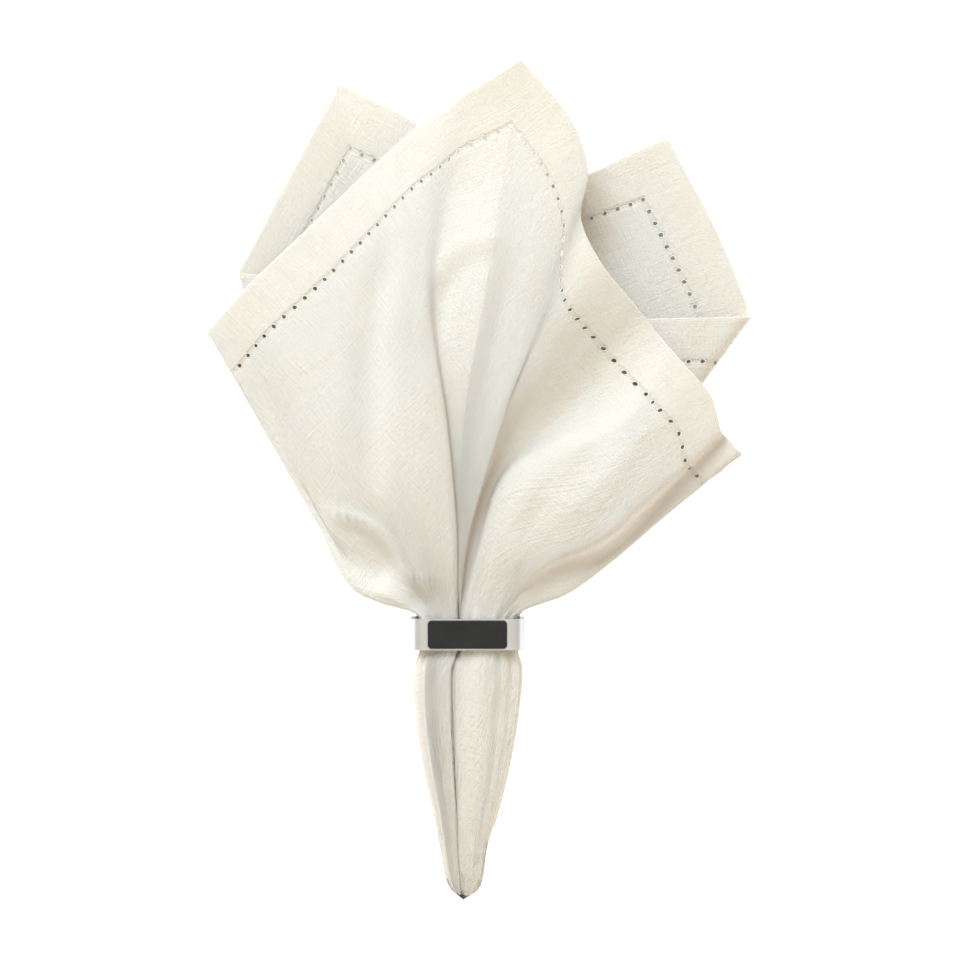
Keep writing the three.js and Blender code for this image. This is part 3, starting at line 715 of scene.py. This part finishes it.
class Sheet:
    """The napkin as one mesh: rings of faces inside the hem, and in the hem a square grid with holes."""

    def __init__(self, drape, settings):
        self.drape = drape
        self.settings = settings
        self.stitch_line = drape.half - settings.hem_width
        step = 2 * self.stitch_line / PITCHES / STEPS_A_PITCH
        inner = -self.stitch_line + step * np.arange(PITCHES * STEPS_A_PITCH + 1)
        outer = [line * drape.half / EDGE_LINES[0] for line in EDGE_LINES] + [self.stitch_line + step]
        self.lines = np.concatenate([-np.array(outer), inner, outer[::-1]])
        self.first_hole = len(outer)
        self.low = self.first_hole + STEPS_INSIDE
        self.high = len(self.lines) - 1 - self.low
        self.draws = np.random.default_rng(8)
        self.points = []
        self.flats = []
        self.weights = []
        self.faces = []

    def add(self, flat, place, share, weight):
        """Adds points, given where they lie, and returns the index of the first."""
        first = sum(len(points) for points in self.points)
        self.points.append(self.drape.at(place, share))
        self.flats.append(flat)
        self.weights.append(np.broadcast_to(weight, place.shape))
        return first

    def flat_of(self, place, share):
        corners = np.array([(1, 1), (1, -1), (-1, -1), (-1, 1), (1, 1)]) * self.drape.half
        side = np.minimum(np.floor(place).astype(int), 3)
        return lerp(corners[side], corners[side + 1], (place - side)[:, None]) * share[:, None]

    def build(self):
        rim = self.add_hem()
        self.add_body(rim)
        return np.vstack(self.points), self.faces

    def add_hem(self):
        """The hem's square grid, less a hole at each stitch; returns the points of its inner rim."""
        count = len(self.lines)
        is_inner = np.zeros((count, count), bool)
        is_inner[self.low + 1:self.high, self.low + 1:self.high] = True
        is_hole = np.zeros((count, count), bool)
        holes = range(self.first_hole, count - self.first_hole, STEPS_A_PITCH)
        for hole in holes:
            for edge in (self.first_hole, count - 1 - self.first_hole):
                is_hole[hole, edge] = is_hole[edge, hole] = True
        number = np.full((count, count), -1)
        column, row = np.nonzero(~is_inner & ~is_hole)
        flat = np.stack([self.lines[column], self.lines[row]], -1)
        first = self.add(flat, *self.drape.of_flat(flat), self.thickness_share(flat))
        number[column, row] = first + np.arange(len(column))
        for i in range(count - 1):
            for j in range(count - 1):
                corners = (number[i, j], number[i + 1, j], number[i + 1, j + 1], number[i, j + 1])
                if min(corners) >= 0:
                    self.faces.append(corners)
        for i, j in zip(*np.nonzero(is_hole)):
            self.add_hole(number, i, j)
        rim = number[self.low:self.high + 1, self.low:self.high + 1]
        return np.concatenate([rim[-1, :0:-1], rim[:0:-1, 0], rim[0, :-1], rim[:-1, -1]])

    def add_hole(self, number, i, j):
        uneven = self.draws.uniform(*CORNER_SIZES, (HOLE_SIDES, 1)) * self.draws.uniform(*HOLE_SIZES)
        flat = circle(HOLE_SIDES) * self.settings.hole_radius * uneven + [self.lines[i], self.lines[j]]
        first = self.add(flat, *self.drape.of_flat(flat), self.settings.groove_share)
        ways = [(1, 0), (1, 1), (0, 1), (-1, 1), (-1, 0), (-1, -1), (0, -1), (1, -1)]
        around = [number[i + east, j + north] for east, north in ways]
        for k in range(HOLE_SIDES):
            following = (k + 1) % HOLE_SIDES
            self.faces.append((around[k], around[following], first + following, first + k))

    def thickness_share(self, flat):
        """The hem is doubled, thinner at its edge; the stitches lie in a groove; the tip is pinched."""
        reach = abs(flat).max(-1)
        doubled = smoothstep(*(self.stitch_line + past for past in DOUBLED_FROM), reach)
        share = lerp(self.settings.single_share, 1, doubled)
        in_groove = abs(reach - self.stitch_line) < GROOVE_HALF_WIDTH
        share = np.where(in_groove, self.settings.groove_share, share)
        share = np.where(reach > self.drape.half - EDGE_WIDTH, EDGE_SHARE, share)
        return share * smoothstep(*PINCHED_TO, reach)

    def add_body(self, rim):
        """Rings of points from the hem's inner rim to the centre, fewer round each as they close in."""
        places = np.arange(4 * SIDE_COLUMNS) / SIDE_COLUMNS
        crowded = self.crowded_places()
        share = self.lines[self.high] / self.drape.half
        outer, outer_columns = rim, np.arange(4 * SIDE_COLUMNS)
        for zone, inward in zip(ZONES[::-1], (*ZONES[-2::-1], None)):
            columns = self.kept_columns(zone)
            target = inward.out_to if inward else 0
            shares = np.linspace(share, target, zone.rows + 1)[1:]
            for here in shares if inward else shares[:-1]:
                crowding = smoothstep(*CROWDED_TO[::-1], here)
                place = lerp(places, crowded, crowding)[columns]
                along = np.full(len(place), here)
                flat = self.flat_of(place, along)
                inner = self.add(flat, place, along, self.settings.single_share) + np.arange(len(place))
                self.bridge(outer, outer_columns, inner, columns)
                outer, outer_columns = inner, columns
            share = target
        centre = self.add(np.zeros((1, 2)), np.zeros(1), np.zeros(1), self.settings.single_share)
        for index, point in enumerate(outer):
            self.faces.append((point, outer[(index + 1) % len(outer)], centre))

    @staticmethod
    def kept_columns(zone):
        columns = np.arange(4 * SIDE_COLUMNS)
        in_front = (columns < SIDE_COLUMNS) | (columns >= 3 * SIDE_COLUMNS)
        return columns[columns % np.where(in_front, zone.front_step, zone.back_step) == 0]

    def bridge(self, outer, outer_columns, inner, inner_columns):
        """Faces between two rings, where the inner one may have only some of the outer one's columns."""
        starts = np.append(np.searchsorted(outer_columns, inner_columns), len(outer))
        for index, (start, end) in enumerate(zip(starts, starts[1:])):
            arc = [outer[column % len(outer)] for column in range(end, start - 1, -1)]
            self.faces.append((inner[index], inner[(index + 1) % len(inner)], *arc))

    def crowded_places(self):
        """Places round the cloth that crowd where it bends, with as many between any two folds."""
        drape = self.drape
        rows = drape.rows[:, [round(share * RAY_ROWS) for share in CROWDED_SHARES]]
        steps = np.diff(rows, axis=0)
        lengths = np.linalg.norm(steps, axis=-1)
        ways = steps / np.maximum(lengths, 1e-9)[..., None]
        bends = np.arccos(np.clip((ways * np.roll(ways, 1, 0)).sum(-1), -1, 1))
        shown = lerp(HIDDEN_BENDS, 1, drape.front[:-1])
        places = []
        for start, end in zip(drape.starts, drape.starts[1:]):
            known = drape.place[start:end + 1]
            long, bendy = (part[start:end].mean(1) * shown[start:end] for part in (lengths, bends))
            bendy = np.convolve(bendy, np.ones(BEND_RAYS) / BEND_RAYS, "same")
            even, by_length, by_bend = CROWDING
            crowd = even * np.diff(known) + by_length * long / long.sum() + by_bend * bendy / bendy.sum()
            mixed = np.concatenate([[0], np.cumsum(crowd)])
            folds = [drape.place[ray] for ray in drape.folds if start < ray < end]
            fixed = np.array([known[0], *folds, known[-1]])
            columns = np.round((fixed - known[0]) * SIDE_COLUMNS)
            wanted = np.interp(np.arange(SIDE_COLUMNS), columns, np.interp(fixed, known, mixed))
            places.append(np.interp(wanted, mixed, known))
        return np.concatenate(places)


# Materials

BLACK = (0, 0, 0, 1)
WHITE = (1, 1, 1, 1)

# How wide the strip is from which threads were drawn for the stitches
DRAWN_WIDTH = 0.0016

# From the band's middle to where its ends turn, and how fast the painted shade darkens them from there
BAND_STRAIGHT = 0.0194
END_PAINTED_SHADE = 190


class Wire:
    """A value's socket that Python's operators work on: each operation adds a Math node."""

    def __init__(self, shader, socket):
        self.shader = shader
        self.socket = socket

    def math(self, operation, first, second=0.0):
        return self.shader.node("ShaderNodeMath", {"operation": operation}, {0: first, 1: second})

    def __add__(self, other):
        return self.math("ADD", self, other)

    __radd__ = __add__

    def __mul__(self, other):
        return self.math("MULTIPLY", self, other)

    __rmul__ = __mul__

    def __sub__(self, other):
        return self.math("SUBTRACT", self, other)

    def __truediv__(self, other):
        return self.math("DIVIDE", self, other)

    def sine(self):
        return self.math("SINE", self)

    def size(self):
        return self.math("ABSOLUTE", self)

    def larger(self, other):
        return self.math("MAXIMUM", self, other)


class Shader:
    """A material and the one way in which its nodes are made."""

    def __init__(self, name):
        self.material = bpy.data.materials.new(name)
        self.material.use_nodes = True
        self.tree = self.material.node_tree
        self.tree.nodes.clear()

    def node(self, kind, settings=None, values=None, output=0):
        """Adds a node with its settings, then its sockets' values or links, and gives one output."""
        node = self.tree.nodes.new(kind)
        for name, value in (settings or {}).items():
            if name == "stops":
                self.set_stops(node.color_ramp, value)
            else:
                setattr(node, name, value)
        for key, value in (values or {}).items():
            if isinstance(value, Wire):
                self.tree.links.new(value.socket, node.inputs[key])
            else:
                node.inputs[key].default_value = value
        return Wire(self, node.outputs[output])

    @staticmethod
    def set_stops(ramp, stops):
        while len(ramp.elements) < len(stops):
            ramp.elements.new(1)
        for element, (position, colour) in zip(ramp.elements, stops):
            element.position = position
            element.color = colour

    def attribute(self, name, output=1):
        """An attribute of the mesh, as a vector, or as a value with output 2."""
        return self.node("ShaderNodeAttribute", {"attribute_name": name}, output=output)

    def place(self):
        """The place on the piece."""
        return self.node("ShaderNodeTexCoord", output=3)

    def noise(self, vector, scale, detail=2.0, roughness=0.5):
        """Noise with so many waves a metre along each axis."""
        scaled = self.node("ShaderNodeVectorMath", {"operation": "MULTIPLY"}, {0: vector, 1: scale})
        values = {"Vector": scaled, "Scale": 1.0, "Detail": detail, "Roughness": roughness}
        return self.node("ShaderNodeTexNoise", {}, values)

    def part(self, vector, axis):
        return self.node("ShaderNodeSeparateXYZ", {}, {0: vector}, output=axis)

    def ramp(self, value, stops):
        return self.node("ShaderNodeValToRGB", {"stops": stops}, {0: value})

    def mixed(self, share, first, second):
        values = {0: share, 6: first, 7: second}
        return self.node("ShaderNodeMix", {"data_type": "RGBA"}, values, output=2)

    def bump(self, height, distance):
        values = {"Height": height, "Distance": distance, "Strength": 1.0}
        return self.node("ShaderNodeBump", {}, values)

    def finish(self, values):
        surface = self.node("ShaderNodeBsdfPrincipled", {}, values)
        node = self.tree.nodes.new("ShaderNodeOutputMaterial")
        self.tree.links.new(surface.socket, node.inputs["Surface"])
        return self.material


def toned(colour, share):
    """The colour made darker or paler."""
    return (*(value * share for value in colour[:3]), 1)


def cloth_material(name, colour, shade, weave_pitch, stitch_line):
    """Plain-woven cotton: crossed threads, some of them thicker, and pressed-in crinkles."""
    shader = Shader(name)
    flat = shader.attribute("flat")
    along = shader.attribute("along")
    warp = (shader.part(flat, 0) * (2 * math.pi / weave_pitch)).sine()
    weft = (shader.part(flat, 1) * (2 * math.pi / weave_pitch)).sine()
    weave = warp * weft
    slubs = shader.noise(flat, (1600, 60, 0), 1.0) + shader.noise(flat, (60, 1600, 0), 1.0)
    crinkle = shader.noise(along, (105, 105, 170), 3.0, 0.6)
    crease = (shader.noise(along, (48, 48, 80)) - 0.5).size()
    blotch = shader.noise(flat, (55, 55, 0))
    fine = shader.noise(flat, (700, 700, 0), 3.0, 0.6)
    reach = shader.part(flat, 0).size().larger(shader.part(flat, 1).size())
    drawn = shader.ramp((reach - stitch_line).size() / DRAWN_WIDTH, [(0.35, WHITE), (0.8, BLACK)])
    height = weave * 0.09 + slubs * 0.3 + crinkle * 0.5 + fine * 0.3 - crease * 0.3 - drawn * 0.35
    tone = blotch * 0.6 + slubs * 0.35 - drawn * 0.25
    return shader.finish({
        "Base Color": shader.mixed(shader.ramp(tone, [(0.3, BLACK), (0.95, WHITE)]), shade, colour),
        "Roughness": 0.82 + 0.16 * slubs,
        "Normal": shader.bump(height, 0.0017),
        "Specular IOR Level": 0.25,
        "Subsurface Weight": 0.35,
        "Subsurface Radius": (1.0, 0.9, 0.76),
        "Subsurface Scale": 0.0009,
        "Sheen Weight": 0.12,
        "Sheen Roughness": 0.5,
    })


def thread_material(name, colour):
    """Twisted cotton thread."""
    shader = Shader(name)
    twist = shader.noise(shader.place(), (2200, 2200, 2200))
    return shader.finish({
        "Base Color": shader.mixed(twist, toned(colour, 0.86), colour),
        "Roughness": 0.75 + 0.2 * twist,
        "Normal": shader.bump(twist, 0.0002),
        "Specular IOR Level": 0.3,
    })


def silver_material(name, colour):
    """Satin silver, polished along the band, with painted shade on its rounded ends, duller where it is
    handled.
    """
    shader = Shader(name)
    place = shader.place()
    grain = shader.noise(place, (60, 5200, 60))
    cloud = shader.noise(place, (90, 90, 90), 3.0)
    # Painted shade: the base colour turns darker on the band's rounded ends, so that they stand out against
    # the pale floor
    ends = ((shader.part(place, 0) - BAND_MIDDLE).size() - BAND_STRAIGHT).larger(0) * END_PAINTED_SHADE
    front = shader.mixed(cloud, toned(colour, 0.88), colour)
    return shader.finish({
        "Base Color": shader.mixed(ends, front, toned(colour, 0.6)),
        "Metallic": 1.0,
        "Roughness": 0.24 + 0.14 * cloud + 0.06 * grain,
        "Normal": shader.bump(grain + cloud * 2, 0.00004),
    })


def black_material(name, colour):
    """Smooth black, softly glossy, slightly wavy, with faint rubbing."""
    shader = Shader(name)
    place = shader.place()
    wave = shader.noise(place, (120, 120, 120), 1.0)
    speck = shader.noise(place, (1800, 1800, 1800))
    return shader.finish({
        "Base Color": shader.mixed(speck * 0.5 + wave * 0.4, colour, toned(colour, 1.7)),
        "Roughness": 0.42 + 0.2 * speck,
        "Normal": shader.bump(wave * 3 + speck * 0.2, 0.0002),
        "Specular IOR Level": 0.3,
    })


def floor_material(name, colour, glow):
    """A pale studio floor that hardly shows its grain, and glows where nothing covers it; its glow is left
    out under the napkin as a painted shadow.
    """
    shader = Shader(name)
    shader.material.cycles.emission_sampling = "NONE"
    grain = shader.noise(shader.place(), (30, 30, 30))
    # Painted shadow: the floor's glow is left out where the napkin lies over it
    covered = shader.attribute("covered", output=2)
    return shader.finish({
        "Base Color": shader.mixed(grain, toned(colour, 0.985), colour),
        "Roughness": 0.9,
        "Specular IOR Level": 0.1,
        "Emission Color": shader.mixed(covered, colour, BLACK),
        "Emission Strength": glow,
    })


# Pieces

LOOP_STEPS = 10
THREAD_SIDES = 6

# Of the thread's radius, how far its loops run outside the holes' rims, and how their points differ
LOOP_OFFSET = 0.55
LOOP_SIZES = (0.9, 1.12)

# Edges of the ring that are rounded: their least angle, and the panel's radius as a share of the band's
SHARP_ANGLE = math.radians(40)
PANEL_EDGE = 0.7

# The floor: its grid under the napkin, its height, how far it reaches and how wide its painted shadow fades
# out
FLOOR_STEP = 0.0025
FLOOR_HEIGHT = -0.0003
FLOOR_REACH = 3
FLOOR_MARGIN = 5 * FLOOR_STEP
POINTS_A_STEP = 1.5

# The key light, aimed at the middle of the table, and the camera
KEY_PLACE = Vector((-0.43, 1.17, 1.12))
EYE_PLACE = (-0.0001, -0.0005)
SENSOR_WIDTH = 36


def linked(name, data):
    made = bpy.data.objects.new(name, data)
    bpy.context.scene.collection.objects.link(made)
    return made


def new_piece(name, points, faces, material):
    mesh = bpy.data.meshes.new(name)
    mesh.from_pydata(points.tolist(), [], [tuple(int(i) for i in face) for face in faces])
    mesh.update()
    mesh.shade_smooth()
    mesh.materials.append(material)
    piece = linked(name, mesh)
    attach(piece, "root")
    return piece


def set_vectors(piece, name, values):
    """A vector for each point, for the materials to read."""
    attribute = piece.data.attributes.new(name, "FLOAT_VECTOR", "POINT")
    attribute.data.foreach_set("vector", values.ravel())


def rings_along(centres, sides, ups, radius):
    """Closed threads round loops of centres: an array of loops, each with its points."""
    across, up = circle(THREAD_SIDES).T[..., None]
    out = sides[..., None, :] * across + ups[..., None, :] * up
    return centres[..., None, :] + out * radius


class NapkinSettings(bpy.types.PropertyGroup):
    side: bpy.props.FloatProperty(
        name="Side", description="Length of each side of the flat napkin", default=0.5, unit="LENGTH")
    hem_width: bpy.props.FloatProperty(
        name="Hem width", description="Distance from the edge to the row of stitches", default=0.02,
        unit="LENGTH")
    hole_radius: bpy.props.FloatProperty(
        name="Hole radius", description="Radius of each hole in the hemstitch", default=0.00098,
        unit="LENGTH")
    hem_thickness: bpy.props.FloatProperty(
        name="Hem thickness", description="Thickness of the doubled hem", default=0.0009, unit="LENGTH")
    single_share: bpy.props.FloatProperty(
        name="Single share", description="Thickness of the single cloth, as a share of the hem's",
        default=0.55, subtype="FACTOR")
    groove_share: bpy.props.FloatProperty(
        name="Groove share", description="Thickness along the row of stitches, as a share of the hem's",
        default=0.32, subtype="FACTOR")
    thread_radius: bpy.props.FloatProperty(
        name="Thread radius", description="Radius of the sewing thread", default=0.0003, unit="LENGTH")
    weave_pitch: bpy.props.FloatProperty(
        name="Weave pitch", description="Distance between two threads of the weave", default=0.0006,
        unit="LENGTH")
    colour: bpy.props.FloatVectorProperty(
        name="Cloth", description="Colour of the cloth",
        default=(0.93, 0.877, 0.825, 1), size=4, subtype="COLOR")
    shade: bpy.props.FloatVectorProperty(
        name="Cloth shade", description="Darker tone of the uneven cloth",
        default=(0.89, 0.822, 0.725, 1), size=4, subtype="COLOR")
    thread: bpy.props.FloatVectorProperty(
        name="Thread", description="Colour of the sewing thread",
        default=(0.86, 0.82, 0.74, 1), size=4, subtype="COLOR")


class RingSettings(bpy.types.PropertyGroup):
    edge: bpy.props.FloatProperty(
        name="Edge radius", description="Radius of the band's rounded edges", default=0.00035,
        unit="LENGTH")
    silver: bpy.props.FloatVectorProperty(
        name="Silver", description="Colour of the band",
        default=(0.8, 0.84, 0.91, 1), size=4, subtype="COLOR")
    black: bpy.props.FloatVectorProperty(
        name="Black", description="Colour of the panel",
        default=(0.012, 0.012, 0.013, 1), size=4, subtype="COLOR")


class StudioSettings(bpy.types.PropertyGroup):
    eye_height: bpy.props.FloatProperty(
        name="Eye height", description="Height of the camera over the table", default=1.1, unit="LENGTH")
    view_width: bpy.props.FloatProperty(
        name="View width", description="Width of the view at the front of the ring", default=0.40506,
        unit="LENGTH")
    key: bpy.props.FloatProperty(
        name="Key light", description="Power of the key light", default=28.5, unit="POWER")
    key_size: bpy.props.FloatProperty(
        name="Key size", description="Side of the key light's square", default=0.9, unit="LENGTH")
    key_colour: bpy.props.FloatVectorProperty(
        name="Key colour", description="Colour of the key light", default=(0.72, 0.88, 1), subtype="COLOR")
    fill: bpy.props.FloatProperty(
        name="Fill light", description="Strength of the light from all round", default=0.81)
    fill_colour: bpy.props.FloatVectorProperty(
        name="Fill colour", description="Colour of the light from all round",
        default=(1, 0.905, 0.745, 1), size=4, subtype="COLOR")
    glow: bpy.props.FloatProperty(
        name="Floor glow", description="Light that the floor adds, so that it stays pale", default=0.8)
    floor: bpy.props.FloatVectorProperty(
        name="Floor", description="Colour of the floor",
        default=(0.93, 0.93, 0.93, 1), size=4, subtype="COLOR")


class NAPKIN_OT_cloth(bpy.types.Operator):
    """Make the napkin as one sheet, its hem doubled and pierced for the hemstitch"""

    bl_idname = "napkin.cloth"
    bl_label = "Cloth"

    def execute(self, context):
        settings = context.scene.napkin
        sheet = Sheet(shared_drape(settings.side, context.scene.studio.eye_height), settings)
        points, faces = sheet.build()
        material = cloth_material(
            "cream cotton", settings.colour, settings.shade, settings.weave_pitch, sheet.stitch_line)
        piece = new_piece("napkin_cloth", points, faces, material)
        flat = np.vstack(sheet.flats)
        reach = np.linalg.norm(flat, axis=1, keepdims=True)
        set_vectors(piece, "flat", np.pad(flat, ((0, 0), (0, 1))))
        set_vectors(piece, "along", np.hstack([flat / np.maximum(reach, 1e-6), reach]))
        group = piece.vertex_groups.new(name="thickness")
        weights = np.concatenate(sheet.weights).round(4)
        for weight in np.unique(weights):
            group.add(np.nonzero(weights == weight)[0].tolist(), float(weight), "REPLACE")
        solid = piece.modifiers.new("thickness", "SOLIDIFY")
        solid.thickness = settings.hem_thickness
        solid.offset = 0
        solid.vertex_group = group.name
        solid.use_even_offset = False
        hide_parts("napkin")
        return {"FINISHED"}


class NAPKIN_OT_stitches(bpy.types.Operator):
    """Sew a loop of thread round each hole of the hemstitch"""

    bl_idname = "napkin.stitches"
    bl_label = "Hemstitch"

    def execute(self, context):
        settings = context.scene.napkin
        drape = shared_drape(settings.side, context.scene.studio.eye_height)
        line = drape.half - settings.hem_width
        along = np.linspace(-line, line, PITCHES + 1)[:-1]
        edge = np.full(PITCHES, line)
        sides = [(along, edge), (edge, -along), (-along, -edge), (-edge, along)]
        holes = np.concatenate([np.stack(side, -1) for side in sides])
        wobble = np.random.default_rng(5).uniform(*LOOP_SIZES, (len(holes), LOOP_STEPS))
        loop = settings.hole_radius + settings.thread_radius * LOOP_OFFSET
        flat = holes[:, None] + circle(LOOP_STEPS) * (loop * wobble)[..., None]
        centres = drape.on_sheet(flat)
        ups = drape.normals(flat)
        ways = np.roll(centres, -1, 1) - np.roll(centres, 1, 1)
        points = rings_along(centres, unit(np.cross(ups, ways)), ups, settings.thread_radius)
        number = np.arange(points[..., 0].size).reshape(points.shape[:-1])
        beside = np.roll(number, -1, 2)
        faces = np.stack([number, beside, np.roll(beside, -1, 1), np.roll(number, -1, 1)], -1)
        material = thread_material("cotton thread", settings.thread)
        piece = new_piece("hemstitch", points.reshape(-1, 3), faces.reshape(-1, 4), material)
        return {"FINISHED"}


def rounded_copy(node, name, material, edge):
    """Makes a copy of a rigid node with its edges rounded, in the same place."""
    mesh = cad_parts[node].data.copy()
    mesh.name = name
    shape = bmesh.new()
    shape.from_mesh(mesh)
    bmesh.ops.remove_doubles(shape, verts=shape.verts, dist=1e-6)
    bmesh.ops.dissolve_limit(shape, angle_limit=math.radians(1), verts=shape.verts, edges=shape.edges)
    sharp = [side for side in shape.edges
             if len(side.link_faces) == 2 and side.calc_face_angle(0) > SHARP_ANGLE]
    bmesh.ops.bevel(
        shape, geom=sharp, offset=edge, segments=3, profile=0.5, affect="EDGES", clamp_overlap=True)
    shape.to_mesh(mesh)
    shape.free()
    mesh.materials.clear()
    mesh.materials.append(material)
    mesh.shade_smooth()
    piece = linked(name, mesh)
    smooth = piece.modifiers.new("even shading", "WEIGHTED_NORMAL")
    smooth.keep_sharp = False
    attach(piece, "root")
    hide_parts(node)


class NAPKIN_OT_ring(bpy.types.Operator):
    """Finish the ring: its band in satin silver and its panel in black, both with rounded edges"""

    bl_idname = "napkin.ring"
    bl_label = "Ring"

    def execute(self, context):
        settings = context.scene.ring
        silver = silver_material("satin silver", settings.silver)
        black = black_material("soft black", settings.black)
        rounded_copy("ring_band", "ring_band_bright", silver, settings.edge)
        rounded_copy(
            "ring_panel", "ring_panel_black", black, settings.edge * PANEL_EDGE)
        return {"FINISHED"}


def studio_floor(material, points):
    """A floor with fine squares under the napkin, with a painted shadow where the cloth's points cover it.
    """
    low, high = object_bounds()
    lines = [np.arange(low[axis] - FLOOR_MARGIN, high[axis] + FLOOR_MARGIN + FLOOR_STEP, FLOOR_STEP)
             for axis in (0, 1)]
    cells = [np.round((points[..., axis] - lines[axis][0]) / FLOOR_STEP).astype(int) for axis in (0, 1)]
    covered = np.zeros([len(line) for line in lines])
    covered[cells[0], cells[1]] = 1
    # The painted shadow keeps clear of the cloth's outline, then fades out towards it
    for merge in 3 * [np.min] + 3 * [np.mean]:
        shifted = [np.roll(covered, (i, j), (0, 1)) for i in (-1, 0, 1) for j in (-1, 0, 1)]
        covered = merge(shifted, axis=0)
    x, y = np.meshgrid(*([-FLOOR_REACH, *line, FLOOR_REACH] for line in lines), indexing="ij")
    floor_points = np.stack([x, y, np.full(x.shape, FLOOR_HEIGHT)], -1).reshape(-1, 3)
    number = np.arange(x.size).reshape(x.shape)
    corners = [number[:-1, :-1], number[1:, :-1], number[1:, 1:], number[:-1, 1:]]
    mesh = bpy.data.meshes.new("floor")
    mesh.from_pydata(floor_points.tolist(), [], np.stack(corners, -1).reshape(-1, 4).tolist())
    mesh.materials.append(material)
    # The painted shadow under the napkin, for the floor's material to read
    shade = mesh.attributes.new("covered", "FLOAT", "POINT")
    shade.data.foreach_set("value", np.pad(covered, 1).ravel())
    return linked("floor", mesh)


class NAPKIN_OT_studio(bpy.types.Operator):
    """Set the pale floor, the soft light and the camera straight above"""

    bl_idname = "napkin.studio"
    bl_label = "Studio"

    def execute(self, context):
        scene = context.scene
        settings = scene.studio
        drape = shared_drape(scene.napkin.side, settings.eye_height)
        count = round(2 * drape.half / FLOOR_STEP * POINTS_A_STEP)
        along = np.linspace(-drape.half, drape.half, count)
        points = drape.on_sheet(np.stack(np.meshgrid(along, along), -1))
        floor = studio_floor(floor_material("pale floor", settings.floor, settings.glow), points)
        floor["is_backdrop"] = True

        world = bpy.data.worlds.new("studio")
        world.use_nodes = True
        backdrop = world.node_tree.nodes["Background"]
        backdrop.inputs["Color"].default_value = settings.fill_colour
        backdrop.inputs["Strength"].default_value = settings.fill
        scene.world = world

        key = bpy.data.lights.new("key", "AREA")
        key.energy = settings.key
        key.size = settings.key_size
        key.color = settings.key_colour
        key_light = linked("key", key)
        key_light.location = KEY_PLACE
        key_light.rotation_euler = (-KEY_PLACE).to_track_quat("-Z", "Y").to_euler()

        lens = bpy.data.cameras.new("above")
        lens.sensor_width = SENSOR_WIDTH
        lens.lens = SENSOR_WIDTH * (settings.eye_height - MATCH_HEIGHT) / settings.view_width
        camera = linked("above", lens)
        camera.location = (*EYE_PLACE, settings.eye_height)
        scene.camera = camera
        scene.view_settings.view_transform = "Standard"
        return {"FINISHED"}


class NAPKIN_PT_pieces(bpy.types.Panel):
    """The napkin's pieces and their settings"""

    bl_label = "Napkin"
    bl_space_type = "VIEW_3D"
    bl_region_type = "UI"
    bl_category = "Napkin"

    def draw(self, context):
        for operator in OPERATORS:
            self.layout.operator(operator.bl_idname)
        for group in SETTINGS:
            settings = getattr(context.scene, group)
            box = self.layout.box()
            for name in settings.__annotations__:
                box.prop(settings, name)


OPERATORS = (NAPKIN_OT_ring, NAPKIN_OT_cloth, NAPKIN_OT_stitches, NAPKIN_OT_studio)
SETTINGS = {"napkin": NapkinSettings, "ring": RingSettings, "studio": StudioSettings}


def register():
    for name, group in SETTINGS.items():
        bpy.utils.register_class(group)
        setattr(bpy.types.Scene, name, bpy.props.PointerProperty(type=group))
    for operator in OPERATORS:
        bpy.utils.register_class(operator)
    bpy.utils.register_class(NAPKIN_PT_pieces)


def unregister():
    bpy.utils.unregister_class(NAPKIN_PT_pieces)
    for operator in reversed(OPERATORS):
        bpy.utils.unregister_class(operator)
    for name, group in SETTINGS.items():
        delattr(bpy.types.Scene, name)
        bpy.utils.unregister_class(group)


def main():
    register()
    bpy.ops.napkin.ring()
    bpy.ops.napkin.cloth()
    bpy.ops.napkin.stitches()
    bpy.ops.napkin.studio()


if __name__ == "__main__":
    main()
